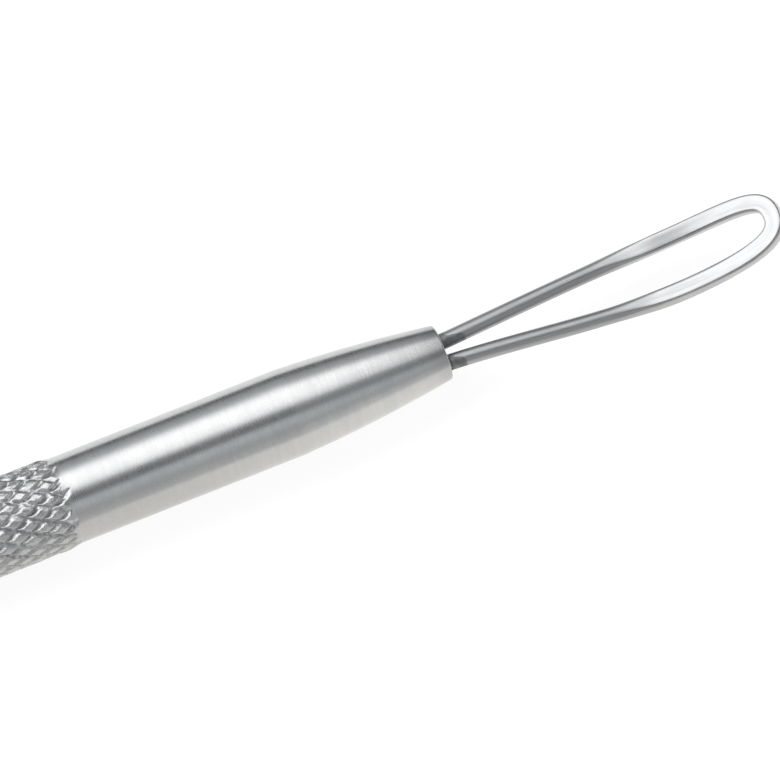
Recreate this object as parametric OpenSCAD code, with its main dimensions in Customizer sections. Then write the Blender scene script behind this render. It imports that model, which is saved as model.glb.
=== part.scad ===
// A double-ended blackhead extractor. One turned steel bar has a diamond knurled grip at its
// middle and a drilled socket in each tapered end. A flattened wire loop is brazed into each
// socket: a large one and a small one.
// The tool lies on its grip. X runs along the bar to the large loop, and Z is up. The origin
// is on the surface that the tool lies on, under the middle of its overall length.

/* [Handle] */
// Length of the bar between its end faces
handle_length = 82; // [74:0.5:110]
// Diameter of the smooth barrel on each side of the grip
barrel_d = 6; // [5.6:0.1:8]
// Length of the curved taper at each end
taper_length = 11.1; // [8:0.1:15]
// Angle at which the taper leaves the barrel
taper_knee = 2.5; // [0:0.1:4]
// Wall left round a socket at the end face
socket_wall = 0.5; // [0.4:0.05:0.6]
// Bevel round each end face
edge_bevel = 0.12; // [0.05:0.01:0.2]

/* [Grip] */
// Length of the knurled grip
grip_length = 27.8; // [16:0.2:34]
// Height of the knurl's lands above the barrel
land_height = 0.15; // [0.08:0.01:0.25]
// Depth of the knurl's grooves below its lands
groove_depth = 0.28; // [0.2:0.01:0.45]
// Width of a groove at its mouth
groove_width = 0.4; // [0.25:0.01:0.55]
// Number of grooves that wind each way round the grip
groove_count = 18; // [14:1:22]
// Angle between the grooves and the bar
groove_angle = 30; // [25:1:38]
// Step up from the barrel at each end of the grip
grip_step = 0.05; // [0.04:0.01:0.07]

/* [Sockets] */
// Depth of a socket, without its drill point
socket_depth = 8; // [6:0.5:12]
// Angle of the drill point
drill_angle = 118; // [90:1:140]
// Distance between the end of a leg and the socket's floor
leg_clearance = 0.5; // [0.2:0.1:1]
// Thickness of the braze between a leg and the socket's wall
braze_film = 0.09; // [0.07:0.01:0.12]
// Height of the braze's fillets above the end face
fillet_height = 0.3; // [0.15:0.05:0.4]
// Gap drawn between two joined pieces
joint_gap = 0.02; // [0.01:0.005:0.03]

/* [Wire] */
// Diameter of the round wire
wire_d = 1.1; // [0.9:0.05:1.2]
// Width of the wire where it is flattened
flat_width = 1.25; // [1:0.05:1.6]
// Thickness of the wire where it is flattened
flat_thickness = 0.86; // [0.5:0.02:1.04]
// Length over which the wire turns from round to flat
flatten_length = 5.5; // [2:0.5:7]
// Gap between the two legs of a loop in its socket
leg_gap = 0.46; // [0.3:0.02:0.6]
// Angle at which each leg leaves the socket, outwards from the bar's axis
leg_splay = 3.7; // [0:0.1:6]

/* [Large loop] */
// Reach of the large loop, from the end face to the outside of its tip
large_reach = 24.5; // [22:0.1:30]
// Width of the large loop over the wire
large_width = 5.05; // [4.2:0.05:5.6]
// Distance from the end face to where the large loop is widest
large_widest_at = 17.2; // [12:0.1:19]
// Distance from the end face to where the large loop starts to flatten
large_flat_from = 11; // [6:0.1:16]
// Distance from the end face to where the large loop dips lowest
large_dip_at = 14.4; // [10:0.1:16.5]
// Depth of the large loop's dip below the bar's axis
large_dip = 0.65; // [0:0.05:1]
// Height of the large loop's tip above the bar's axis
large_lift = 1.6; // [0:0.05:1.8]

/* [Small loop] */
// Reach of the small loop, from the end face to the outside of its tip
small_reach = 17; // [14.5:0.1:21]
// Width of the small loop over the wire
small_width = 4; // [3.6:0.1:4.6]
// Distance from the end face to where the small loop is widest
small_widest_at = 12.2; // [9:0.1:13]
// Distance from the end face to where the small loop starts to flatten
small_flat_from = 7; // [4:0.1:11]
// Distance from the end face to where the small loop dips lowest
small_dip_at = 9.9; // [7:0.1:11]
// Depth of the small loop's dip below the bar's axis
small_dip = 0.45; // [0:0.05:0.8]
// Height of the small loop's tip above the bar's axis
small_lift = 1.1; // [0:0.05:1.5]

/* [Hidden] */

steel = [0.72, 0.73, 0.74];
wire_steel = [0.78, 0.79, 0.8];
braze_metal = [0.66, 0.65, 0.62];

large_end = 1;
small_end = -1;
round_sides = 96;

// How far a cut runs out past the surface that it opens
cut_over = 1;

barrel_r = barrel_d / 2;
land_r = barrel_r + land_height;
wire_r = wire_d / 2;
leg_y = wire_r + leg_gap / 2;
leg_length = socket_depth - leg_clearance;
socket_r = leg_y + wire_r + braze_film;
end_r = socket_r + socket_wall;

// The loops differ in length, so the bar lies off the middle of the whole tool
bar_x = (small_reach - large_reach) / 2;

// Each end of the bar: a smooth length that laps a little into the grip, then an arc that
// leaves the barrel at the knee's angle and steepens as it falls to the end face's bevel
smooth_length = (handle_length - grip_length) / 2;
grip_lap = 0.05;
taper_run = taper_length - edge_bevel;
taper_fall = barrel_r - end_r;
taper_end_angle = 2 * atan(taper_fall / taper_run) - taper_knee;
taper_arc_r = taper_run / (sin(taper_end_angle) - sin(taper_knee));
taper_steps = 20;

// The knurl's grid: a diamond spans two columns round the bar and two steps along it
columns = 2 * groove_count;
column_angle = 360 / columns;
groove_pitch = 2 * PI * land_r / groove_count;
rows = round(2 * grip_length * tan(groove_angle) / groove_pitch) - 1;
row_step = grip_length / (rows + 1);
land_share = 1 - groove_width / (groove_pitch * cos(groove_angle));
root_r = land_r - groove_depth;
grip_end_r = barrel_r + grip_step;

// How far the braze stands proud of the end face between its fillets, and the width of the
// thin ring of braze at the top of a fillet
braze_rise = 0.06;
fillet_lip = 0.06;

// The loops' curves: the shares of the tip's length and of its half width at which a bow's
// handles stand, and the roundness of the wire's section, from a circle to a rounded bar
tip_shoulder = 0.74;
tip_bluntness = 0.88;
round_power = 2;
flat_power = 5;
wire_sides = 24;
shank_steps = 14;
bow_steps = 14;

function smooth(t) = let (u = max(0, min(1, t))) u * u * (3 - 2 * u);
function mix(a, b, t) = a + (b - a) * t;
function unit(v) = v / norm(v);

function bezier(p, t) =
    (1 - t) ^ 3 * p[0] + 3 * (1 - t) ^ 2 * t * p[1] + 3 * (1 - t) * t ^ 2 * p[2] + t ^ 3 * p[3];
function bezier_heading(p, t) =
    (1 - t) ^ 2 * (p[1] - p[0]) + 2 * (1 - t) * t * (p[2] - p[1]) + t ^ 2 * (p[3] - p[2]);

// Holds an end's shapes, drawn with X outwards from the middle of the end face
module at_end(end) {
    translate([bar_x + end * handle_length / 2, 0, land_r])
        rotate([0, 0, end == large_end ? 0 : 180])
            children();
}

// Turns a profile of [distance from the axis, distance along X] round the X axis
module turned(profile) {
    rotate([0, 90, 0])
        rotate_extrude($fn = round_sides)
            polygon(profile);
}

module smooth_end() {
    start = -smooth_length - grip_lap;
    arc = [
        for (i = [0:taper_steps])
            let (a = mix(taper_knee, taper_end_angle, i / taper_steps))
            [
                barrel_r - taper_arc_r * (cos(taper_knee) - cos(a)),
                taper_arc_r * (sin(a) - sin(taper_knee)) - taper_length
            ]
    ];
    turned(concat([[0, start], [barrel_r, start]], arc, [[end_r - edge_bevel, 0], [0, 0]]));
}

module socket() {
    floor = -socket_depth;
    drill_point = floor - socket_r / tan(drill_angle / 2);
    turned([[0, drill_point], [socket_r, floor], [socket_r, cut_over], [0, cut_over]]);
}

// The grip as one closed skin of diamonds. Diamonds stand on the grid's even squares, and on
// its odd squares two grooves cross. Row -1 and row number rows are the grip's end rings.
module knurl() {
    function around(column) = (column + columns) % columns;
    function pair(column) = floor(around(column) / 2);
    function on_bar(row, column, r) =
        let (turn = column * column_angle - 90)
        [(row + 1) * row_step - grip_length / 2, r * cos(turn), r * sin(turn)];

    // The order of the points: one end ring, each row's lands and then its crossings, and the
    // other end ring
    lands_size = 4 * groove_count;
    row_size = lands_size + groove_count;
    function row_start(row) = columns + row * row_size;
    function land(row, column, corner) = row_start(row) + 4 * pair(column) + corner;
    function crossing(row, column) =
        row < 0 ? around(column)
        : row >= rows ? row_start(rows) + around(column)
        : row_start(row) + lands_size + pair(column);

    // A land's four corners, clockwise from the one nearest the large loop
    corners = [[1, 0], [0, 1], [-1, 0], [0, -1]];
    function row_points(row) = concat(
        [
            for (i = [0:groove_count - 1], c = corners)
                let (column = 2 * i + row % 2)
                on_bar(row + land_share * c[0], column + land_share * c[1], land_r)
        ],
        [for (i = [0:groove_count - 1]) on_bar(row, 2 * i + 1 - row % 2, root_r)]
    );
    function ring_points(row) = [for (column = [0:columns - 1]) on_bar(row, column, grip_end_r)];

    // A diamond: its land in two halves that meet on a line along the bar, and four walls
    function diamond(row, column) =
        let (
            top = [for (k = [0:3]) land(row, column, k)],
            foot = [for (c = corners) crossing(row + c[0], column + c[1])]
        )
        concat(
            [[top[0], top[1], top[2]], [top[0], top[2], top[3]]],
            [
                for (k = [0:3])
                    let (next = (k + 1) % 4)
                    each [[foot[k], foot[next], top[next]], [foot[k], top[next], top[k]]]
            ]
        );

    // A groove's run-out, from its last crossing up to the end ring at either side of it
    function run_out(row, ring, column) =
        let (
            root = crossing(row, column),
            rim = [for (side = [-1, 0, 1]) crossing(ring, column + side)]
        )
        ring < row
            ? [[root, rim[1], rim[0]], [root, rim[2], rim[1]]]
            : [[root, rim[0], rim[1]], [root, rim[1], rim[2]]];

    points = concat(
        ring_points(-1),
        [for (row = [0:rows - 1]) each row_points(row)],
        ring_points(rows)
    );
    faces = concat(
        [
            for (row = [0:rows - 1], i = [0:groove_count - 1])
                each diamond(row, 2 * i + row % 2)
        ],
        [for (i = [0:groove_count - 1]) each run_out(0, -1, 2 * i + 1)],
        [for (i = [0:groove_count - 1]) each run_out(rows - 1, rows, 2 * i + rows % 2)],
        [[for (column = [0:columns - 1]) crossing(-1, column)]],
        [[for (column = [columns - 1:-1:0]) crossing(rows, column)]]
    );
    translate([bar_x, 0, land_r])
        polyhedron(points, faces);
}

// A loop's wire, swept from the end of one leg, round the tip, to the end of the other
module wire_loop(reach, width, widest_at, flat_from, dip_at, dip, lift) {
    half_width = (width - flat_width) / 2;
    tip_x = reach - flat_width / 2;
    third = (widest_at - fillet_height) / 3;
    shank = [
        [fillet_height, leg_y],
        [fillet_height + third, leg_y + third * tan(leg_splay)],
        [widest_at - third, half_width],
        [widest_at, half_width]
    ];
    bow = [
        [widest_at, half_width],
        [mix(widest_at, tip_x, tip_shoulder), half_width],
        [tip_x, half_width * tip_bluntness],
        [tip_x, 0]
    ];

    // Stations hold x, y and the heading there, from the leg's end to the tip and back
    out = concat(
        [[-leg_length, leg_y, 1, 0]],
        [
            for (i = [0:shank_steps])
                let (t = i / shank_steps)
                concat(bezier(shank, t), bezier_heading(shank, t))
        ],
        [
            for (i = [1:bow_steps])
                let (t = i / bow_steps)
                concat(bezier(bow, t), bezier_heading(bow, t))
        ]
    );
    back = [for (i = [len(out) - 2:-1:0]) let (s = out[i]) [s[0], -s[1], -s[2], s[3]]];
    stations = concat(out, back);

    // Seen from the side, the loop dips below the bar's axis and then curls up to its tip
    dip_run = dip_at - fillet_height;
    curl_run = tip_x - dip_at;
    function rise(x) =
        x < dip_at
            ? -dip * smooth((x - fillet_height) / dip_run)
            : -dip + (dip + lift) * ((x - dip_at) / curl_run) ^ 2;
    function slope(x) =
        let (u = max(0, (x - fillet_height) / dip_run))
        x < dip_at
            ? -dip * 6 * u * (1 - u) / dip_run
            : 2 * (dip + lift) * (x - dip_at) / curl_run ^ 2;

    function section(s) =
        let (
            along = unit([s[2], s[3], s[2] * slope(s[0])]),
            up = unit([-slope(s[0]), 0, 1]),
            across = cross(up, along),
            flat = smooth((s[0] - flat_from) / flatten_length),
            half_across = mix(wire_r, flat_width / 2, flat),
            half_up = mix(wire_r, flat_thickness / 2, flat),
            power = mix(round_power, flat_power, flat)
        )
        [
            for (i = [0:wire_sides - 1])
                let (
                    a = 360 * i / wire_sides,
                    sum = abs(cos(a) / half_across) ^ power + abs(sin(a) / half_up) ^ power,
                    r = sum ^ (-1 / power)
                )
                [s[0], s[1], rise(s[0])] + r * cos(a) * across + r * sin(a) * up
        ];

    last = len(stations) - 1;
    walls = [
        for (j = [0:last - 1], i = [0:wire_sides - 1])
            let (
                near = j * wire_sides + i,
                beside = j * wire_sides + (i + 1) % wire_sides,
                far = [near, beside] + [wire_sides, wire_sides]
            )
            each [[near, far[0], far[1]], [near, far[1], beside]]
    ];
    caps = [
        [for (i = [0:wire_sides - 1]) i],
        [for (i = [wire_sides - 1:-1:0]) last * wire_sides + i]
    ];
    polyhedron([for (s = stations) each section(s)], concat(walls, caps));
}

// The braze round the legs: a plug in the socket and a fillet round each leg where it leaves
module braze_plug() {
    floor = joint_gap - socket_depth;
    plug_r = socket_r - joint_gap;
    hole_r = wire_r + joint_gap;
    hole_floor = -leg_length - joint_gap;
    difference() {
        union() {
            turned([[0, floor], [plug_r, floor], [plug_r, braze_rise], [0, braze_rise]]);
            for (side = [-1, 1])
                translate([0, side * leg_y, 0])
                    turned([
                        [0, joint_gap],
                        [wire_r + fillet_height, joint_gap],
                        [wire_r + fillet_lip, fillet_height],
                        [0, fillet_height]
                    ]);
        }
        for (side = [-1, 1])
            translate([0, side * leg_y, 0])
                turned([
                    [0, hole_floor],
                    [hole_r, hole_floor],
                    [hole_r, cut_over],
                    [0, cut_over]
                ]);
    }
}

module handle() {
    color(steel)
        difference() {
            union() {
                knurl();
                for (end = [small_end, large_end])
                    at_end(end)
                        smooth_end();
            }
            for (end = [small_end, large_end])
                at_end(end)
                    socket();
        }
}

module large_loop() {
    color(wire_steel)
        at_end(large_end)
            wire_loop(large_reach, large_width, large_widest_at, large_flat_from,
                large_dip_at, large_dip, large_lift);
}

module small_loop() {
    color(wire_steel)
        at_end(small_end)
            wire_loop(small_reach, small_width, small_widest_at, small_flat_from,
                small_dip_at, small_dip, small_lift);
}

module large_loop_braze() {
    color(braze_metal)
        at_end(large_end)
            braze_plug();
}

module small_loop_braze() {
    color(braze_metal)
        at_end(small_end)
            braze_plug();
}

handle();
large_loop();
large_loop_braze();
small_loop();
small_loop_braze();
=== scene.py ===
import math

import bpy
import numpy as np
from mathutils import Matrix


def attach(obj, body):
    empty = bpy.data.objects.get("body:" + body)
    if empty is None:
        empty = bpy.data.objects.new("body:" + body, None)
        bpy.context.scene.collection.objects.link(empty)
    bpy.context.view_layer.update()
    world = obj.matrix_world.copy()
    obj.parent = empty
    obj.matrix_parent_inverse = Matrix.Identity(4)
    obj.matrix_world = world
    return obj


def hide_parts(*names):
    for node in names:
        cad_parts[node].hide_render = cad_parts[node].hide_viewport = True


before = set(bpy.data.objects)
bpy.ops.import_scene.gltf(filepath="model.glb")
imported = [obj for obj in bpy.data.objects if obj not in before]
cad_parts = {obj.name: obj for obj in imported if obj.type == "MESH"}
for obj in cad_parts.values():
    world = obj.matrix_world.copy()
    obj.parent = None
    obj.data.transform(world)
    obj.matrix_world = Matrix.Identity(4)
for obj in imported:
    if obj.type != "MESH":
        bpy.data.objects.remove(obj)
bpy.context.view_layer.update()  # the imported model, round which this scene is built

# The tool's sizes in millimetres, by the names that its source gives them

HANDLE_LENGTH = 82.0
BARREL_R = 3.0
TAPER_LENGTH = 11.1
TAPER_KNEE = math.radians(2.5)
SOCKET_WALL = 0.5
EDGE_BEVEL = 0.12
GRIP_LENGTH = 27.8
LAND_HEIGHT = 0.15
GROOVE_COUNT = 18
GROOVE_ANGLE = math.radians(30)
SOCKET_DEPTH = 8.0
DRILL_ANGLE = math.radians(118)
LEG_CLEARANCE = 0.5
BRAZE_FILM = 0.09
FILLET_HEIGHT = 0.3
JOINT_GAP = 0.02
BRAZE_RISE = 0.06
WIRE_R = 0.55
FLAT_HALF_WIDTH = 0.625
FLAT_HALF_THICKNESS = 0.43
FLATTEN_LENGTH = 5.5
LEG_GAP = 0.46
LEG_SPLAY = math.radians(3.7)
TIP_SHOULDER = 0.74
TIP_BLUNTNESS = 0.88

# Each loop's own sizes. end is the way it points along X, set_aside is how far it was brazed off
# the bar's axis, and stain is how far the heat stain runs along its left and right legs
LARGE = {
    "end": 1,
    "reach": 24.5,
    "width": 5.05,
    "widest_at": 17.2,
    "flat_from": 11.0,
    "dip_at": 14.4,
    "dip": 0.65,
    "lift": 1.6,
    "set_aside": -0.09,
    "stain": (1.3, 0.8),
}
SMALL = {
    "end": -1,
    "reach": 17.0,
    "width": 4.0,
    "widest_at": 12.2,
    "flat_from": 7.0,
    "dip_at": 9.9,
    "dip": 0.45,
    "lift": 1.1,
    "set_aside": 0.03,
    "stain": (0.9, 1.2),
}

LAND_R = BARREL_R + LAND_HEIGHT
LEG_Y = WIRE_R + LEG_GAP / 2
LEG_LENGTH = SOCKET_DEPTH - LEG_CLEARANCE
SOCKET_R = LEG_Y + WIRE_R + BRAZE_FILM
END_R = SOCKET_R + SOCKET_WALL
BAR_X = (SMALL["reach"] - LARGE["reach"]) / 2
MM = 0.001


# Small sums


def smooth(t):
    """An S curve from 0 to 1 as t goes from 0 to 1, level on both sides."""
    t = np.clip(t, 0, 1)
    return t * t * (3 - 2 * t)


def ramp(t, start, run):
    """0 up to start, 1 from start + run on, and an S curve between them."""
    return smooth((t - start) / run)


def mix(a, b, t):
    """a where t is 0 and b where it is 1."""
    return a + (b - a) * t


def bell(t):
    """1 where t is 0, falling on both sides."""
    return np.exp(-(t**2))


def soft_max(a, b, softness):
    """The larger of two, with a rounded corner where they meet."""
    return (a + b + np.sqrt((a - b) ** 2 + softness**2)) / 2


def unit(vectors):
    return vectors / np.linalg.norm(vectors, axis=1)[:, None]


def spread(values, columns):
    """A column of values repeated over a grid's columns."""
    return np.repeat(np.reshape(values, (-1, 1)), columns, axis=1)


def place(points, end=1):
    """Points in millimetres, with X outwards from an end face's middle, as row points in metres."""
    turned = np.asarray(points, float) * (end, end, 1)
    return (turned + (BAR_X + end * HANDLE_LENGTH / 2, 0, LAND_R)) * MM


# Meshes and objects


def tube_faces(rows, columns, along_u=None):
    """Faces of a grid that closes on itself round its columns, with a cap on each end.

    along_u says of each square which diagonal splits it. Without it, the squares stay whole.
    """
    i, j = np.meshgrid(np.arange(rows - 1), np.arange(columns), indexing="ij")
    near = i * columns + j
    beside = i * columns + (j + 1) % columns
    far, across = near + columns, beside + columns
    if along_u is None:
        faces = np.stack([near, beside, across, far], -1).reshape(-1, 4).tolist()
    else:
        one = np.stack([near, beside, across, near, across, far], -1)
        other = np.stack([near, beside, far, beside, across, far], -1)
        faces = np.where(along_u[..., None], one, other).reshape(-1, 3).tolist()
    first_cap = list(range(columns - 1, -1, -1))
    last_cap = list(range((rows - 1) * columns, rows * columns))
    return faces + [first_cap, last_cap]


def new_mesh(name, points, faces, material, layers):
    """A mesh with one material. layers are its point attributes, which the material reads."""
    mesh = bpy.data.meshes.new(name)
    mesh.from_pydata(np.asarray(points).tolist(), [], faces)
    for layer, values in layers.items():
        values = np.asarray(values, np.float32)
        kind, key = ("FLOAT", "value") if values.ndim == 1 else ("FLOAT_VECTOR", "vector")
        mesh.attributes.new(layer, kind, "POINT").data.foreach_set(key, values.ravel())
    mesh.materials.append(material)
    return mesh


def new_object(name, data):
    made = bpy.data.objects.new(name, data)
    bpy.context.scene.collection.objects.link(made)
    return made


def add_piece(name, node, mesh):
    """A smooth piece in the row frame, which stands for a CAD node."""
    mesh.validate()
    mesh.shade_smooth()
    piece = new_object(name, mesh)
    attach(piece, "root")
    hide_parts(node)


# Materials


class Nodes:
    """Short ways to add nodes to a node tree."""

    def __init__(self, tree):
        self.tree = tree

    def add(self, kind, inputs=None, **settings):
        made = self.tree.nodes.new("ShaderNode" + kind)
        for key, value in settings.items():
            setattr(made, key, value)
        for key, value in (inputs or {}).items():
            self.set(made.inputs[key], value)
        return made

    def set(self, socket, value):
        """Link another node's output to a socket, or give the socket a value."""
        if isinstance(value, bpy.types.NodeSocket):
            self.tree.links.new(value, socket)
        else:
            socket.default_value = value

    def plus(self, a, b):
        return self.add("Math", {0: a, 1: b}, operation="ADD").outputs[0]

    def times(self, a, b):
        return self.add("Math", {0: a, 1: b}, operation="MULTIPLY").outputs[0]

    def weigh(self, a, share, b):
        """share of a and the rest of b."""
        return self.plus(self.times(a, share), self.times(b, 1 - share))

    def layer(self, name, output="Fac"):
        """A point attribute of the mesh."""
        return self.add("Attribute", attribute_name=name).outputs[output]

    def noise(self, vector, per_metre, detail=3.0, roughness=0.5):
        """Noise of so many lumps to the metre along each axis."""
        scaled = self.add("VectorMath", {0: vector, 1: per_metre}, operation="MULTIPLY").outputs[0]
        inputs = {"Vector": scaled, "Scale": 1.0, "Detail": detail, "Roughness": roughness}
        return self.add("TexNoise", inputs).outputs["Fac"]

    def span(self, value, source, target=(0.0, 1.0)):
        """value carried from the source range to the target range, and held at its ends."""
        inputs = {0: value, 1: source[0], 2: source[1], 3: target[0], 4: target[1]}
        return self.add("MapRange", inputs).outputs[0]

    def blend(self, share, a, b):
        """Colour a where share is 0 and b where it is 1."""
        made = self.add("Mix", data_type="RGBA")
        self.set(made.inputs[0], share)
        self.set(made.inputs[6], a)
        self.set(made.inputs[7], b)
        return made.outputs[2]

    def bump(self, height, distance, normal=None):
        inputs = {"Height": height, "Distance": distance, "Strength": 1.0}
        if normal is not None:
            inputs["Normal"] = normal
        return self.add("Bump", inputs).outputs[0]


class Shader(Nodes):
    """One new material."""

    def __init__(self, name):
        self.material = bpy.data.materials.new(name)
        self.material.use_nodes = True
        super().__init__(self.material.node_tree)
        self.tree.nodes.clear()
        self.output = self.add("OutputMaterial")

    def show(self, shader_node):
        """Make a shader node the surface, and return the finished material."""
        self.set(self.output.inputs["Surface"], shader_node.outputs[0])
        return self.material

    def metal(self, colour, roughness, normal, **more):
        inputs = {"Base Color": colour, "Roughness": roughness, "Normal": normal, "Metallic": 1.0}
        return self.show(self.add("BsdfPrincipled", inputs | more))


# Colours, and how much rougher or smoother some places are. A pair is a surface's darkest and its
# palest shade
BAR_SHADES = (0.575, 0.58, 0.585, 1), (0.615, 0.615, 0.61, 1)
BAR_MOTTLE = (0.54, 0.545, 0.555, 1)
# The darker colour at each end of the bar is painted shade
BAR_END_SHADE = (0.485, 0.488, 0.495, 1)
# Torn metal in the knurl's grooves, darkened further as painted shade
TORN_METAL_AND_SHADE = (0.15, 0.15, 0.16, 1)
TORN_ROUGHNESS = 0.06
WIRE_SHADES = (0.335, 0.34, 0.344, 1), (0.457, 0.46, 0.463, 1)
FLAT_SHADES = (0.44, 0.44, 0.45, 1), (0.57, 0.57, 0.57, 1)
PRESSED_SMOOTHER = 0.16
OXIDE_SHADES = (0.19, 0.194, 0.2, 1), (0.28, 0.285, 0.29, 1)
STAIN_ROUGHER = 0.16
# A black ring where the wire leaves the braze: painted shade in the crevice
RIM_SHADE = (0.05, 0.05, 0.05, 1)
BRAZE_SHADES = (0.36, 0.35, 0.32, 1), (0.55, 0.53, 0.48, 1)

# How deep the materials' bumps are, in metres
TORN_BUMP = 0.00003
RING_BUMP = 0.0000035
WIRE_BUMP = 0.000003
BRAZE_BUMP = 0.00001

# Ranges of a noise's values, from its middle values only to nearly all of them
NARROW = (0.35, 0.65)
WIDE = (0.3, 0.7)
WHOLE = (0.25, 0.75)

# The rings spread the shine across them, so it runs along the bar. The tangent runs round the bar
# and takes a quarter turn
RING_SHINE = 0.55
QUARTER_TURN = 0.25


def handle_steel():
    """Turned steel: fine rings round it, a faint mottle, and torn dark metal with painted shade in
    the grooves.
    """
    s = Shader("turned_steel")
    here = s.add("TexCoord").outputs["Object"]
    torn_and_shade = s.layer("torn_and_shade")
    rings = s.noise(here, (9000, 250, 250), detail=4, roughness=0.65)
    broad_rings = s.noise(here, (2200, 300, 300))
    mottle = s.noise(here, (700, 700, 700), detail=5, roughness=0.6)
    grain = s.noise(here, (14000, 9000, 9000), detail=2)
    specks = s.noise(here, (3500, 3500, 3500), detail=4, roughness=0.6)
    tears = s.noise(here, (8000, 8000, 8000), roughness=0.6)

    tone = s.blend(s.span(broad_rings, NARROW), *BAR_SHADES)
    tone = s.blend(s.span(mottle, (0.3, 0.8), (0.0, 0.5)), tone, BAR_MOTTLE)
    # Painted shade darkens each end of the bar
    tone = s.blend(s.layer("end_shade"), tone, BAR_END_SHADE)
    ragged = s.plus(torn_and_shade, s.span(specks, WHOLE, (-0.35, 0.35)))
    # The grooves are darkened by torn metal and by painted shade
    colour = s.blend(s.span(ragged, (0.35, 0.9), (0.0, 0.85)), tone, TORN_METAL_AND_SHADE)

    rough = s.plus(s.span(rings, WIDE, (0.24, 0.31)), s.span(mottle, WIDE, (-0.02, 0.03)))
    rough = s.plus(rough, s.times(torn_and_shade, TORN_ROUGHNESS))
    normal = s.bump(s.times(tears, s.layer("rolled")), TORN_BUMP)
    normal = s.bump(s.weigh(rings, 0.6, grain), RING_BUMP, normal)
    round_the_bar = s.add("Tangent", direction_type="RADIAL", axis="X").outputs[0]
    shine = {
        "Anisotropic": RING_SHINE,
        "Anisotropic Rotation": QUARTER_TURN,
        "Tangent": round_the_bar,
    }
    return s.metal(colour, rough, normal, **shine)


def loop_steel():
    """Drawn wire: fine lines along it, paler pressed faces, a dark stain at the braze, and painted
    shade where it leaves the braze.
    """
    s = Shader("wire_steel")
    along = s.layer("wire", "Vector")
    flat = s.layer("flat")
    lines = s.noise(along, (250, 14000, 14000), detail=4, roughness=0.6)
    mottle = s.noise(along, (900, 1600, 1600), detail=4, roughness=0.6)
    patches = s.noise(along, (2600, 2200, 2200), roughness=0.6)
    rubbing = s.noise(along, (160, 2600, 500), detail=4, roughness=0.55)

    wire = s.blend(s.span(lines, WIDE), *WIRE_SHADES)
    streaks = s.weigh(rubbing, 0.7, mottle)
    pressed = s.blend(s.span(streaks, (0.36, 0.62)), *FLAT_SHADES)
    stain_edge = s.plus(s.layer("stain"), s.span(patches, WHOLE, (-0.3, 0.3)))
    stained = s.span(stain_edge, (0.3, 0.65))
    oxide = s.blend(s.span(patches, NARROW), *OXIDE_SHADES)
    # Painted shade: a black ring where the wire leaves the braze
    oxide = s.blend(s.layer("rim_shade"), oxide, RIM_SHADE)
    colour = s.blend(stained, s.blend(flat, wire, pressed), oxide)

    rough = s.plus(s.span(mottle, WIDE, (0.35, 0.42)), s.times(flat, -PRESSED_SMOOTHER))
    rough = s.plus(rough, s.times(stained, STAIN_ROUGHER))
    return s.metal(colour, rough, s.bump(s.weigh(lines, 0.7, patches), WIRE_BUMP))


def braze_metal():
    """Silver braze as it froze: a soft skin, mottled and duller than the steel."""
    s = Shader("braze")
    here = s.add("TexCoord").outputs["Object"]
    skin = s.noise(here, (1500, 1500, 1500), detail=5, roughness=0.6)
    pits = s.noise(here, (6000, 6000, 6000))
    colour = s.blend(s.span(skin, NARROW), *BRAZE_SHADES)
    rough = s.span(pits, WIDE, (0.34, 0.5))
    return s.metal(colour, rough, s.bump(s.weigh(skin, 0.7, pits), BRAZE_BUMP))


# The handle: one turned bar whose grip carries a rolled diamond knurl. The grip is a grid whose row
# p counts half pitches along it and whose column q counts them round it, each cut into GRID steps

GRID = 8
COLUMNS = 2 * GROOVE_COUNT
GROOVE_PITCH = 2 * math.pi * LAND_R / GROOVE_COUNT
ROWS = round(2 * GRIP_LENGTH * math.tan(GROOVE_ANGLE) / GROOVE_PITCH) - 1
ROW_STEP = GRIP_LENGTH / (ROWS + 1)
HALF_SPACING = GROOVE_PITCH * math.cos(GROOVE_ANGLE) / 2
STEP = HALF_SPACING / GRID
RUN_OUT = 5  # steps of the grid past each end of the grip

# The two families of grooves: u falls to the right in the picture, v rises. Each has a broad wall,
# which faces up in the picture, and a steep one, and side says on which side the broad one is. floor
# rounds the groove's floor and bend its walls. ridge is what stands up from the floor, as a share of
# the depth, and lip is the metal raised beside the groove. reach is how many more rows it runs
GROOVES = {
    "u": {
        "broad": 5.0 * STEP,
        "steep": 3.2 * STEP,
        "side": -1,
        "depth": 0.17,
        "bend": 1.0,
        "floor": 0.01,
        "ridge": 0.28,
        "lip": 0.012,
        "reach": 0.0,
    },
    "v": {
        "broad": 5.4 * STEP,
        "steep": 1.9 * STEP,
        "side": 1,
        "depth": 0.34,
        "bend": 0.95,
        "floor": 0.015,
        "ridge": 0.0,
        "lip": 0.01,
        "reach": 0.05,
    },
}
RIDGE_WIDTH = 1.1 * STEP
LIP_AT, LIP_WIDTH = 1.2, 0.3  # in widths of the wall, from the groove's middle
LINE_START = {"u": 0.41, "v": 0.08}  # half pitches by which the lattice is moved, as photographed
CLOSED_AT = 0.65  # u was rolled last: this share of its depth closes the v groove that it crosses
CUT_CORNER = 0.015

# Grooves end and deepen unevenly. One v groove runs on past its neighbours
END_FADE = 0.7
END_JITTER = 0.2
LONG_GROOVE, LONG_GROOVE_REACH = 5, 0.35
WAVER_LOW, WAVER_HIGH, WAVER_KNOTS = 0.8, 1.15, 12

# Each land's own height, lean and crown, and the fine dents over all of them
LAND_UNEVEN = 0.007
LAND_LEAN = 0.03
LAND_CROWN = -0.03
DENT_DEPTH = 0.008
DENT_PASSES = 2
DENT_SHRINK = 2.6
SWELL_START, SWELL_END, SWELL_RUN = 1.2, 0.2, 1.35  # rows, where the lands rise from the barrel
BROAD_WALL_TORN_AND_SHADE = 0.1  # the share of torn metal and painted shade on a v groove's broad wall

END_SHADE_LENGTH = 1.9  # painted shade darkens this much of each end of the bar, where the highlight fades
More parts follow.
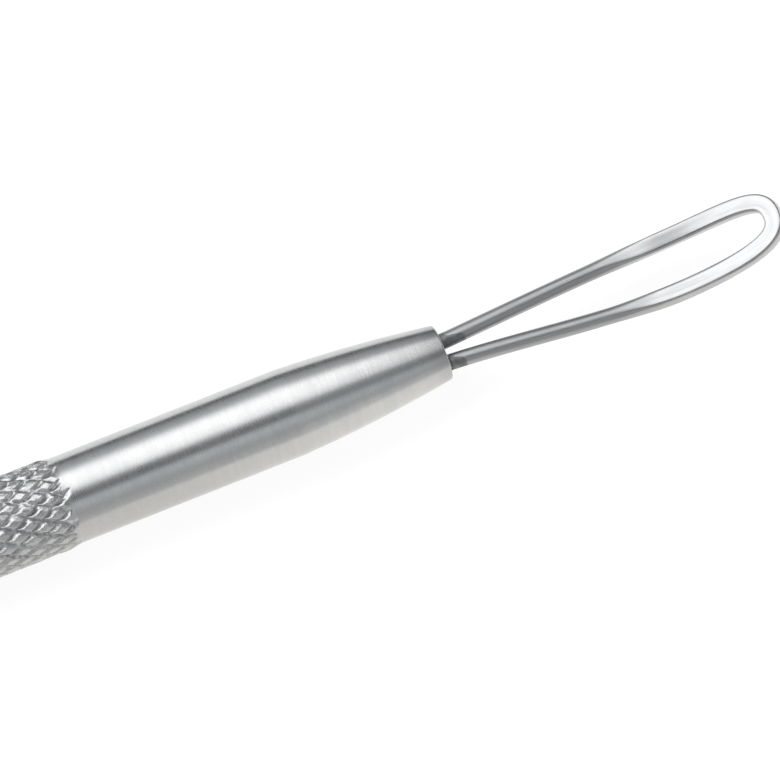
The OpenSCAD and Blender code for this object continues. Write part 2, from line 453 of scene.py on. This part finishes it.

# Rings of the bar's smooth ends. The extra ones beside the grip and the taper keep the shading even
BARREL_RINGS = 9
BESIDE_GRIP = 0.05
BESIDE_TAPER = 0.15
TAPER_RINGS = 22
RIM_RINGS = 6
SOCKET_MOUTH = (0, 0.05), (-0.015, 0.015), (-0.05, 0)  # [x, radius over the socket's]
SOCKET_WALL_X = -0.2, -SOCKET_DEPTH + 0.1, -SOCKET_DEPTH
DRILL_POINT_R = 0.02
HANDLE_SEED = 7


def waver(rng):
    """A slowly changing factor for each of the grooves, by its place along the grip from 0 to 1."""
    values = rng.uniform(WAVER_LOW, WAVER_HIGH, (GROOVE_COUNT, WAVER_KNOTS + 2))

    def at(groove, place_along):
        t = np.clip(place_along, 0, 1) * WAVER_KNOTS
        k = np.floor(t).astype(int)
        return mix(values[groove, k], values[groove, k + 1], smooth(t - k))

    return at


def groove_lines(p, q):
    """Each family's count of half pitches at row p and column q. It is odd at a groove's middle."""
    return {"u": p - q + LINE_START["u"], "v": p + q + LINE_START["v"]}


def groove_cut(line, shape):
    """Depth of one family of grooves, and the lip beside them."""
    across = (np.mod(line, 2) - 1) * shape["side"]
    away = np.abs(across) * HALF_SPACING / np.where(across > 0, shape["broad"], shape["steep"])
    wall = np.clip(1 - np.sqrt(away**2 + shape["floor"]), 0, 1)
    ridge = shape["ridge"] * bell(across * HALF_SPACING / RIDGE_WIDTH)
    lip = shape["lip"] * bell((away - LIP_AT) / LIP_WIDTH)
    return shape["depth"] * (wall ** shape["bend"] - ridge), lip


def rolled_family(family, line, p, rng):
    """One family's cut and lip as rolled, and the share that is left of them at the grip's ends."""
    shape = GROOVES[family]
    groove = np.floor(line / 2).astype(int) % GROOVE_COUNT
    ends = rng.uniform(-END_JITTER, END_JITTER, (2, GROOVE_COUNT)) + shape["reach"]
    if family == "v":
        ends[1, LONG_GROOVE] += LONG_GROOVE_REACH
    near = smooth((p + 1 + ends[0][groove]) / END_FADE)
    far = smooth((ROWS - p + ends[1][groove]) / END_FADE)
    strength = near * far * waver(rng)(groove, (p + 1) / (ROWS + 1))
    cut, lip = groove_cut(line, shape)
    return cut * strength, lip * strength, near * far


def land_heights(u, v, rng):
    """Each land is crowned, stands a little over or under its neighbours and leans its own way."""
    land_u, land_v = np.round(u / 2) * 2, np.round(v / 2) * 2
    row = np.clip((land_u + land_v) / 2 + 2, 0, ROWS + 3).astype(int)
    column = ((land_v - land_u) / 2).astype(int) % COLUMNS
    height, lean_u, lean_v = rng.normal(0, 1, (3, ROWS + 4, COLUMNS))[:, row, column]
    uneven = LAND_UNEVEN * height + LAND_LEAN * (lean_u * (u - land_u) + lean_v * (v - land_v))
    return uneven + LAND_CROWN * ((u - land_u) ** 2 + (v - land_v) ** 2)


def dents(rng, shape):
    """Small soft unevenness from point to point, of about one unit."""
    field = rng.normal(0, 1, shape)
    for _ in range(DENT_PASSES):
        along = np.roll(field, 1, axis=0)
        round_it = np.roll(field, 1, axis=1)
        both = np.roll(field, (1, 1), axis=(0, 1))
        field = (field + along + round_it + both) / DENT_SHRINK
    return field


def knurl(p, q, rng):
    """Radius over the barrel, share of torn metal and painted groove shade, and share of rolling, at
    row p and column q.
    """
    lines = groove_lines(p, q)
    cut_u, lip_u, rolled = rolled_family("u", lines["u"], p, rng)
    cut_v, lip_v, _ = rolled_family("v", lines["v"], p, rng)
    open_share = 1 - smooth(cut_u / (CLOSED_AT * GROOVES["u"]["depth"]))
    cut = soft_max(cut_u, cut_v * open_share, CUT_CORNER) - CUT_CORNER / 2

    # Rolling pushes the lands up from the barrel, and the grip's ends fall back to it
    lands = land_heights(lines["u"], lines["v"], rng) + (lip_u + lip_v)
    swell = smooth((p + SWELL_START) / SWELL_RUN) * smooth((ROWS + SWELL_END - p) / SWELL_RUN)
    rough = DENT_DEPTH * dents(rng, p.shape) * rolled
    over = LAND_HEIGHT * swell + lands * swell * rolled - cut + rough

    # Torn metal and painted shade darken the grooves, most of all a v groove's steep wall
    on_steep_wall = np.mod(lines["v"], 2) < 1
    torn_and_shade_u = cut_u / GROOVES["u"]["depth"]
    torn_and_shade_v = cut_v / GROOVES["v"]["depth"] * open_share
    torn_and_shade = np.maximum(torn_and_shade_u, torn_and_shade_v * np.where(on_steep_wall, 1.0, BROAD_WALL_TORN_AND_SHADE))
    return np.minimum(over, LAND_HEIGHT), np.clip(torn_and_shade, 0, 1), rolled


def taper():
    """[x, r] of the taper from the barrel to the end face's bevel, with x from the face."""
    run, fall = TAPER_LENGTH - EDGE_BEVEL, BARREL_R - END_R
    last = 2 * math.atan(fall / run) - TAPER_KNEE
    arc_r = run / (math.sin(last) - math.sin(TAPER_KNEE))
    a = np.linspace(TAPER_KNEE, last, TAPER_RINGS)
    x = arc_r * (np.sin(a) - math.sin(TAPER_KNEE)) - TAPER_LENGTH
    r = BARREL_R - arc_r * (math.cos(TAPER_KNEE) - np.cos(a))
    return np.stack([x, r], -1)


def end_profile():
    """[x, r] from the grip over one end of the bar and into its socket, with x from the face."""
    smooth_start = -(HANDLE_LENGTH - GRIP_LENGTH) / 2 + RUN_OUT / GRID * ROW_STEP
    barrel_x = np.linspace(smooth_start, -TAPER_LENGTH, BARREL_RINGS)[1:-1]
    barrel_x = [smooth_start + BESIDE_GRIP, *barrel_x, -TAPER_LENGTH - BESIDE_TAPER]
    barrel = [[x, BARREL_R] for x in barrel_x]
    turn = np.linspace(0, math.pi / 2, RIM_RINGS)[1:]
    rim_x = EDGE_BEVEL * (np.sin(turn) - 1)
    rim_r = END_R - EDGE_BEVEL * (1 - np.cos(turn))
    rim = np.stack([rim_x, rim_r], -1)
    mouth = [[x, SOCKET_R + wider] for x, wider in SOCKET_MOUTH]
    wall = [[x, SOCKET_R] for x in SOCKET_WALL_X]
    point_depth = (SOCKET_R - DRILL_POINT_R) / math.tan(DRILL_ANGLE / 2)
    point = [[-SOCKET_DEPTH - point_depth, DRILL_POINT_R]]
    return np.concatenate([barrel, taper(), rim, mouth, wall, point])


def split_along_u(rows, first, p, q):
    """Whether each square of the handle's grid lies nearer to a u groove than to a v groove."""
    cell_p = np.zeros(rows - 1)
    cell_p[first : first + len(p) - 1] = p[:-1] + 0.5 / GRID
    lines = groove_lines(cell_p[:, None], q + 0.5 / GRID)
    return np.abs(np.mod(lines["u"], 2) - 1) < np.abs(np.mod(lines["v"], 2) - 1)


def handle_piece(material):
    """The bar: the grip's grid with a smooth end on each side of it."""
    columns = COLUMNS * GRID
    q = np.arange(columns) / GRID
    p = np.arange(-RUN_OUT, (ROWS + 1) * GRID + RUN_OUT + 1) / GRID - 1
    grid_p, grid_q = np.meshgrid(p, q, indexing="ij")
    over, torn_and_shade, rolled = knurl(grid_p, grid_q, np.random.default_rng(HANDLE_SEED))

    profile = end_profile()
    grip_x = (p + 1) * ROW_STEP - GRIP_LENGTH / 2
    end_x = profile[:, 0] + HANDLE_LENGTH / 2
    x = np.concatenate([-end_x[::-1], grip_x, end_x])
    end_r = spread(profile[:, 1], columns)
    r = np.concatenate([end_r[::-1], BARREL_R + over, end_r])
    turn = np.radians(q * 360 / COLUMNS - 90)
    points = [spread(x, columns) + BAR_X, r * np.cos(turn), r * np.sin(turn) + LAND_R]
    points = np.stack(points, -1).reshape(-1, 3) * MM

    plain = np.zeros_like(end_r)
    # Painted shade, darkest at the bar's ends
    end_shade = smooth((np.abs(x) - HANDLE_LENGTH / 2 + END_SHADE_LENGTH) / END_SHADE_LENGTH)
    layers = {
        "torn_and_shade": np.concatenate([plain, torn_and_shade, plain]).ravel(),
        "rolled": np.concatenate([plain, rolled, plain]).ravel(),
        "end_shade": spread(end_shade, columns).ravel(),
    }
    along_u = split_along_u(len(x), len(profile), p, q)
    faces = tube_faces(len(x), columns, along_u)
    mesh = new_mesh("knurled_handle", points, faces, material, layers)
    add_piece("knurled_handle", "handle", mesh)


# The wire loops, each swept along its middle line from one leg's end to the other's

SHANK_STEPS = 70
BOW_STEPS = 80
WIRE_SIDES = 40
LEG_X = -LEG_LENGTH, -LEG_LENGTH + 0.1, -1, -0.2, 0.1

# The wire's section. Pressing makes its body squarer and cuts a flat on each side
ROUND_POWER, PRESSED_POWER, FLAT_POWER = 2.0, 3.4, 14
PRESSED_HALF_HEIGHT = 0.6
UNPRESSED = 1.4 * WIRE_R

# The pressed faces lean inwards. The lean grows up to the loop's widest place and ends before its
# tip, within these shares of the two stretches
FACE_LEAN = math.radians(9)
LEAN_IN, LEAN_OUT = 0.9, 0.7
TIP_TUCK = 0.025  # keeps the set-aside tip inside the CAD model's box

# Each leg is stained on one side: the other, clean side faces this way
CLEAN_SIDE = np.array([0, 0.944, 0.33])
STAIN_SIDE, STAIN_SIDE_RUN = 0.18, 0.36
STAIN_SIDE_LEAST = 0.85
STAIN_ALL_ROUND = 0.5
STAIN_BLUR = 0.3
# Length of the painted shade where the wire leaves the braze, and its fade
RIM_SHADE_LENGTH, RIM_SHADE_RUN = 0.08, 0.25


def bezier(p, t):
    """The points of a Bezier curve at t."""
    a, b, c, d = (np.asarray(k, float)[None] for k in p)
    t = t[:, None]
    return (1 - t) ** 3 * a + 3 * (1 - t) ** 2 * t * b + 3 * (1 - t) * t**2 * c + t**3 * d


def heading(p, t):
    """The way that a Bezier curve runs at t."""
    a, b, c, d = (np.asarray(k, float)[None] for k in p)
    t = t[:, None]
    return (1 - t) ** 2 * (b - a) + 2 * (1 - t) * t * (c - b) + t**2 * (d - c)


def loop_line(loop, tip_x):
    """Points and headings of a loop's middle line, seen from above."""
    half_width = loop["width"] / 2 - FLAT_HALF_WIDTH
    widest_at = loop["widest_at"]
    third = (widest_at - FILLET_HEIGHT) / 3
    shank = [
        [FILLET_HEIGHT, LEG_Y],
        [FILLET_HEIGHT + third, LEG_Y + third * math.tan(LEG_SPLAY)],
        [widest_at - third, half_width],
        [widest_at, half_width],
    ]
    bow = [
        [widest_at, half_width],
        [mix(widest_at, tip_x, TIP_SHOULDER), half_width],
        [tip_x, half_width * TIP_BLUNTNESS],
        [tip_x, 0],
    ]
    t = np.linspace(0, 1, SHANK_STEPS)
    w = np.linspace(0, 1, BOW_STEPS)[1:]
    leg = [[x, LEG_Y] for x in LEG_X]
    line = np.concatenate([leg, bezier(shank, t), bezier(bow, w)])
    way = np.concatenate([[[1.0, 0.0]] * len(leg), heading(shank, t), heading(bow, w)])
    line = np.concatenate([line, line[-2::-1] * (1, -1)])
    way = np.concatenate([way, way[-2::-1] * (-1, 1)])
    return line, unit(way)


def loop_rise(loop, x, tip_x):
    """Height of the loop's middle line and its slope: a shallow dip, then a curl up to the tip."""
    dip_run, curl_run = loop["dip_at"] - FILLET_HEIGHT, tip_x - loop["dip_at"]
    depth = loop["dip"] + loop["lift"]
    u = np.clip((x - FILLET_HEIGHT) / dip_run, 0, 1)
    w = (x - loop["dip_at"]) / curl_run
    low = x < loop["dip_at"]
    rise = np.where(low, -loop["dip"] * smooth(u), -loop["dip"] + depth * w**2)
    slope = np.where(low, -loop["dip"] * 6 * u * (1 - u) / dip_run, 2 * depth * w / curl_run)
    return rise, slope


def face_lean(loop, line, tip_x):
    """Angle by which the wire's faces are turned inwards, at each point of the line."""
    x, side = line[:, 0], np.sign(line[:, 1])
    before, after = loop["widest_at"] - loop["flat_from"], tip_x - loop["widest_at"]
    lean = FACE_LEAN * side * smooth((x - loop["flat_from"]) / before / LEAN_IN)
    return lean * (1 - smooth((x - loop["widest_at"]) / after / LEAN_OUT))


def wire_axes(way, slope, lean):
    """The wire's own axes at each point: across it, in its faces, and up from them."""
    along = unit(np.stack([way[:, 0], way[:, 1], way[:, 0] * slope], -1))
    level_up = unit(np.stack([-slope, np.zeros_like(slope), np.ones_like(slope)], -1))
    sideways = np.array([0, 1, 0])
    up = level_up * np.cos(lean)[:, None] - sideways * np.sin(lean)[:, None]
    return np.cross(up, along), up


def section_radius(a, flat):
    """Radius of the wire's section: a circle, on which pressing leaves two flats as it spreads."""
    half_across = mix(WIRE_R, FLAT_HALF_WIDTH, flat)
    half_up = mix(WIRE_R, PRESSED_HALF_HEIGHT, flat)
    power = mix(ROUND_POWER, PRESSED_POWER, flat)
    press = mix(UNPRESSED, FLAT_HALF_THICKNESS, np.sqrt(flat))
    cos, sin = np.abs(np.cos(a)), np.abs(np.sin(a))
    body = (cos / half_across) ** power + (sin / half_up) ** power
    return (body ** (FLAT_POWER / power) + (sin / press) ** FLAT_POWER) ** (-1 / FLAT_POWER)


def heat_stain(loop, line, outwards):
    """How stained each point is: a little all round, and further on the side that is not clean."""
    away = (1 - outwards @ CLEAN_SIDE) / 2
    away = ramp(away, STAIN_SIDE, STAIN_SIDE_RUN) * mix(STAIN_SIDE_LEAST, 1.0, away)
    left, right = loop["stain"]
    reach = STAIN_ALL_ROUND + np.where(line[:, 1:] > 0, left, right) * away
    return 1 - smooth((line[:, :1] - reach + STAIN_BLUR) / (2 * STAIN_BLUR))


def loop_piece(name, node, loop, material):
    """A loop of wire, with the layers that its material reads."""
    tip_x = loop["reach"] - FLAT_HALF_WIDTH
    line, way = loop_line(loop, tip_x)
    x = line[:, 0]
    rise, slope = loop_rise(loop, x, tip_x)
    across, up = wire_axes(way, slope, face_lean(loop, line, tip_x))

    a = (np.arange(WIRE_SIDES) + 0.5) * 2 * math.pi / WIRE_SIDES
    flat = ramp(x, loop["flat_from"], FLATTEN_LENGTH)
    r = section_radius(a[None], flat[:, None])
    tuck = TIP_TUCK * smooth((x - loop["widest_at"]) / (tip_x - loop["widest_at"]))
    middle = np.stack([x - tuck, line[:, 1] + loop["set_aside"], rise], -1)
    side, top = r * np.cos(a), r * np.sin(a)
    points = middle[:, None] + side[..., None] * across[:, None] + top[..., None] * up[:, None]

    steps = np.linalg.norm(np.diff(middle, axis=0), axis=1)
    run = spread(np.concatenate([[0], np.cumsum(steps)]), WIRE_SIDES)
    outwards = np.cos(a)[:, None] * across[:, None] + np.sin(a)[:, None] * up[:, None]
    layers = {
        "wire": np.stack([run, side, top], -1).reshape(-1, 3) * MM,
        "flat": spread(flat, WIRE_SIDES).ravel(),
        "stain": heat_stain(loop, line, outwards).ravel(),
        # painted shade where the wire leaves the braze
        "rim_shade": spread(1 - ramp(x, RIM_SHADE_LENGTH, RIM_SHADE_RUN), WIRE_SIDES).ravel(),
    }
    placed = place(points.reshape(-1, 3), loop["end"])
    mesh = new_mesh(name, placed, tube_faces(len(line), WIRE_SIDES), material, layers)
    add_piece(name, node, mesh)


# The braze in a socket: a plug whose free face sinks at the socket's wall and climbs each leg

PLUG_RINGS = 26
PLUG_SIDES = 96
PLUG_MIDDLE = 0.02
FILLET_BEND = 0.9
WAVES = (3, 0.0075), (5, 0.005)  # how many waves go round the plug, and how high they are
PLUG_SINK, PLUG_SINK_WIDTH = 0.05, 0.25
MEAN_RISE = 0.6 * BRAZE_RISE
BRAZE_SEED = 11


def free_face(y, z, r, set_aside, turn, sway):
    """Height of the braze's free face over the end face."""
    to_legs = np.hypot(y - set_aside - LEG_Y, z), np.hypot(y - set_aside + LEG_Y, z)
    clear = np.minimum(*to_legs) - (WIRE_R + JOINT_GAP)
    climb = 1 - np.clip(clear / FILLET_HEIGHT, 0, 1)
    fillet = (FILLET_HEIGHT - BRAZE_RISE) * (1 - np.sqrt(1 - climb**2)) ** FILLET_BEND
    fillet = np.where(clear < 0, 0, fillet)
    wave = sum(high * np.sin(count * turn + start) for (count, high), start in zip(WAVES, sway))
    plug_r = SOCKET_R - JOINT_GAP
    sink = PLUG_SINK * smooth((r - plug_r + PLUG_SINK_WIDTH) / PLUG_SINK_WIDTH)
    return MEAN_RISE + fillet + wave - sink


def braze_piece(name, node, loop, material, rng):
    """The plug of braze in one socket."""
    turn = np.arange(PLUG_SIDES) * 2 * math.pi / PLUG_SIDES
    sway = rng.uniform(0, 2 * math.pi, 6)  # the waves use the first two
    radii = (SOCKET_R - JOINT_GAP) * np.linspace(1, PLUG_MIDDLE, PLUG_RINGS)[:, None]
    radii = np.concatenate([radii[:1], radii])
    y, z = radii * np.cos(turn), radii * np.sin(turn)
    x = free_face(y, z, radii, loop["set_aside"], turn, sway)
    x[0] = JOINT_GAP - SOCKET_DEPTH  # the first ring is the plug's hidden end
    placed = place(np.stack([x, y, z], -1).reshape(-1, 3), loop["end"])
    mesh = new_mesh(name, placed, tube_faces(len(radii), PLUG_SIDES), material, {})
    add_piece(name, node, mesh)


# The studio

WORLD_FILL = 0.55  # the world's strength on the object, where 1 is the white that the camera sees
FLOOR_HALF = 6.0
FLOOR_WHITE = (0.9, 0.9, 0.9, 1)
FLOOR_OWN_LIGHT = 1.02
FLOOR_OWN_SHARE = 0.82  # part of the floor's white is its own, so that the shadow on it stays pale
WHITE = (1, 1, 1, 1)
WARM = (1.0, 0.985, 0.955, 1)
COOL = (0.94, 0.975, 1.0, 1)

# Lamps: place in metres, side of the square and watts
LAMPS = {
    "key_lamp": ((-0.5, 0.55, 0.9), 0.8, 14),
    "fill_lamp": ((0.5, -0.7, 0.8), 1.0, 8),
}


def seen_share(s):
    """1 for the rays that show the background: the camera's, mirrored and refracted ones."""
    path = s.add("LightPath").outputs
    share = path["Is Camera Ray"]
    for ray in ("Is Glossy Ray", "Is Transmission Ray"):
        share = s.add("Math", {0: share, 1: path[ray]}, operation="MAXIMUM").outputs[0]
    return share


def white_world():
    """White where it is seen, and weaker as a light."""
    world = bpy.data.worlds.new("studio")
    bpy.context.scene.world = world
    world.use_nodes = True
    background = world.node_tree.nodes["Background"]
    s = Nodes(world.node_tree)
    s.set(background.inputs["Color"], WHITE)
    s.set(background.inputs["Strength"], s.span(seen_share(s), (0.0, 1.0), (WORLD_FILL, 1.0)))


def white_floor():
    """A plain white table, which keeps the object's shadow."""
    corners = [(-1, -1, 0), (1, -1, 0), (1, 1, 0), (-1, 1, 0)]
    s = Shader("white_table")
    matte = s.add("BsdfDiffuse", {"Color": FLOOR_WHITE})
    glow = s.add("Emission", {"Color": WHITE, "Strength": FLOOR_OWN_LIGHT})
    share = s.times(seen_share(s), FLOOR_OWN_SHARE)
    material = s.show(s.add("MixShader", {0: share, 1: matte.outputs[0], 2: glow.outputs[0]}))
    mesh = new_mesh("floor", np.array(corners) * FLOOR_HALF, [(0, 1, 2, 3)], material, {})
    new_object("floor", mesh)


def painted(name, points, columns, level, tint):
    """A surface that only mirrored rays see, lit by its own levels: what the metal reflects."""
    rows = len(points) // columns
    faces = [
        (k * columns + j, k * columns + j + 1, (k + 1) * columns + j + 1, (k + 1) * columns + j)
        for k in range(rows - 1)
        for j in range(columns - 1)
    ]
    s = Shader(name)
    colour = s.blend(s.layer("tint"), WARM, COOL)
    material = s.show(s.add("Emission", {"Color": colour, "Strength": s.layer("level")}))
    material.cycles.emission_sampling = "NONE"
    layers = {"level": level.ravel(), "tint": tint.ravel()}
    panel = new_object(name, new_mesh(name, points, faces, material, layers))
    panel.visible_camera = False
    panel.visible_diffuse = False
    panel.visible_transmission = False
    panel.visible_shadow = False


# What stands round the tool, by the angle over +Y at which the barrel sees it, with its level: a
# flag low behind the tool, the softbox, the dark camera over it, and a card in front
ROUND_LEVELS = (
    (0, 0.1), (2, 0.15), (5, 0.36), (10, 0.43), (17, 0.49), (25, 0.58), (30, 0.72), (35, 1.0),
    (41, 1.48), (50, 1.76), (65, 1.7), (77, 1.56), (86, 1.38), (92, 0.84), (98, 0.26), (104, 0.13),
    (113, 0.1), (118, 0.28), (123, 0.68), (130, 0.72), (137, 0.62), (149, 0.46), (161, 0.45),
    (173, 0.49), (181, 0.47),
)
ROUND_TINTS = (
    (0, 1.0), (25, 1.0), (40, 0.55), (85, 0.5), (98, 1.0), (137, 1.0), (160, 0.6), (181, 0.25),
)
TUNNEL_HALF_LENGTH, TUNNEL_COLUMNS = 2.5, 126
TUNNEL_ARC = np.linspace(0.2, 180.8, 182)
BARREL_SEES_X = 0.14
SKEW = 32.0  # degrees by which the softbox's edges climb for each metre to the right
SKEW_LENGTH = 0.4

# Where the surround's parts begin and over how much they fade in, by X in metres or by the angle in
# degrees, and how bright each is
SOFTBOX_FROM = 0.8, 0.4  # by its level
LEFT_GAIN, LEFT_RUN = 0.2, 0.5
TAPER_SIDE_FROM = BARREL_SEES_X, 0.22
TAPER_GAIN = 0.44
CARD_GAIN, CARD_FROM = 1.0, (148, 18)
LENS_GLOW, LENS_FROM, LENS_TO = 0.4, (98, 9), (122, 9)
FLAG_LEVELS, FLAG_CLIMB, FLAG_FROM = (0.17, 0.45), (118, 20), (0.4, 0.06)
END_LEVEL, END_FROM = 0.8, (1.2, 0.5)
BACK_LEVEL, BACK_FROM, BACK_TO = 0.8, (0.2, 0.2), (30, 20)


def surround():
    """Half a tunnel over the table. The softbox leans, and a flag ends it on the right."""
    along = np.linspace(-TUNNEL_HALF_LENGTH, TUNNEL_HALF_LENGTH, TUNNEL_COLUMNS)
    a, x = np.meshgrid(TUNNEL_ARC, along, indexing="ij")
    points = np.stack([x, np.cos(np.radians(a)), np.sin(np.radians(a))], -1).reshape(-1, 3)

    lean = SKEW * np.clip(x - BARREL_SEES_X, 0, SKEW_LENGTH)
    level = np.interp(a - lean, *zip(*ROUND_LEVELS))
    softbox = ramp(level, *SOFTBOX_FROM)
    level *= 1 + softbox * LEFT_GAIN * smooth((BARREL_SEES_X - x) / LEFT_RUN)

    # To the right, where the taper looks, the softbox, the card and the lens are all brighter
    taper_side = ramp(x, *TAPER_SIDE_FROM)
    card = ramp(a, *CARD_FROM)
    lens = ramp(a, *LENS_FROM) * (1 - ramp(a, *LENS_TO))
    level *= 1 + taper_side * (CARD_GAIN * card + TAPER_GAIN * softbox)
    level += LENS_GLOW * taper_side * lens

    # Then comes the flag, and the far end. On the left, light from low behind reaches the knurl
    flag = mix(*FLAG_LEVELS, ramp(a, *FLAG_CLIMB))
    level = mix(level, flag, ramp(x, *FLAG_FROM))
    level = mix(level, END_LEVEL, ramp(x, *END_FROM))
    level += BACK_LEVEL * ramp(-x, *BACK_FROM) * (1 - ramp(a, *BACK_TO))
    painted("surround", points, len(along), level, np.interp(a, *zip(*ROUND_TINTS)))


# The table's level from the front edge to the back, by its Y
TABLE_LEVELS = (-0.02, 0.84), (-0.002, 0.87), (0.0, 1.07), (0.022, 1.07), (0.032, 0.12)
TABLE_Y = *np.linspace(-1, -0.02, 8), -0.004, 0, 0.01, 0.022, 0.026, 0.03, 0.034, 0.1, 1
TABLE_X = -2.5, -0.1, 0.015, 0.02, 0.025, 0.03, 0.035, 0.1, 2.5
TABLE_HEIGHT = 0.00005  # just over the floor
TABLE_GAIN, TABLE_GAIN_FROM = 0.2, (0.015, 0.02)  # brighter at the front right
BEHIND_TINT = 0.5


def table_top():
    """The table as the metal sees it: white near the tool, dark behind it where the sheet ends."""
    y, x = np.meshgrid(TABLE_Y, TABLE_X, indexing="ij")
    points = np.stack([x, y, np.full_like(x, TABLE_HEIGHT)], -1).reshape(-1, 3)
    level = np.interp(y, *zip(*TABLE_LEVELS))
    level *= 1 + TABLE_GAIN * ramp(x, *TABLE_GAIN_FROM) * (y < 0)
    painted("table_top", points, len(TABLE_X), level, np.where(y > 0, BEHIND_TINT, 0.0))


def lamp(name, location, size, energy):
    """A square lamp that points at the tool. The metal mirrors the surround in its place."""
    data = bpy.data.lights.new(name, "AREA")
    data.size = size
    data.energy = energy
    made = new_object(name, data)
    made.location = location
    made.rotation_mode = "QUATERNION"
    made.rotation_quaternion = (-made.location).to_track_quat("-Z", "Y")
    made.visible_camera = False
    made.visible_glossy = False


def studio():
    bpy.context.scene.view_settings.view_transform = "Standard"
    white_world()
    white_floor()
    surround()
    table_top()
    for name, (location, size, energy) in LAMPS.items():
        lamp(name, location, size, energy)


# The camera: a long lens at the photograph's angle. The bar's right end is where it is there

AZIMUTH = math.radians(-22.89)
ELEVATION = math.radians(69.2)
IMAGE = 780
PIXELS_PER_MM = 15.05
DISTANCE = 1.0
RIM_PIXEL = (442.0, 352.2)
SENSOR = 36
NEAREST, FURTHEST = 0.05, 20


def camera():
    sin_a, cos_a = math.sin(AZIMUTH), math.cos(AZIMUTH)
    sin_e, cos_e = math.sin(ELEVATION), math.cos(ELEVATION)
    right = np.array([cos_a, sin_a, 0])
    back = np.array([sin_a * cos_e, -cos_a * cos_e, sin_e])
    up = np.array([-sin_a * sin_e, cos_a * sin_e, cos_e])
    aside = (RIM_PIXEL[0] - IMAGE / 2) / PIXELS_PER_MM * MM
    above = (IMAGE / 2 - RIM_PIXEL[1]) / PIXELS_PER_MM * MM
    middle = place([0, 0, 0]) - aside * right - above * up

    data = bpy.data.cameras.new("camera")
    data.sensor_width = SENSOR
    data.lens = SENSOR * DISTANCE / (IMAGE / PIXELS_PER_MM * MM)
    data.clip_start = NEAREST
    data.clip_end = FURTHEST
    made = new_object("camera", data)
    made.location = (middle + back * DISTANCE).tolist()
    made.rotation_mode = "QUATERNION"
    made.rotation_quaternion = Matrix(np.stack([right, up, back], 1).tolist()).to_quaternion()
    bpy.context.scene.camera = made


def tool():
    wire, braze = loop_steel(), braze_metal()
    handle_piece(handle_steel())
    loop_piece("large_wire_loop", "large_loop", LARGE, wire)
    loop_piece("small_wire_loop", "small_loop", SMALL, wire)
    rng = np.random.default_rng(BRAZE_SEED)
    braze_piece("large_braze_plug", "large_loop_braze", LARGE, braze, rng)
    braze_piece("small_braze_plug", "small_loop_braze", SMALL, braze, rng)


tool()
studio()
camera()
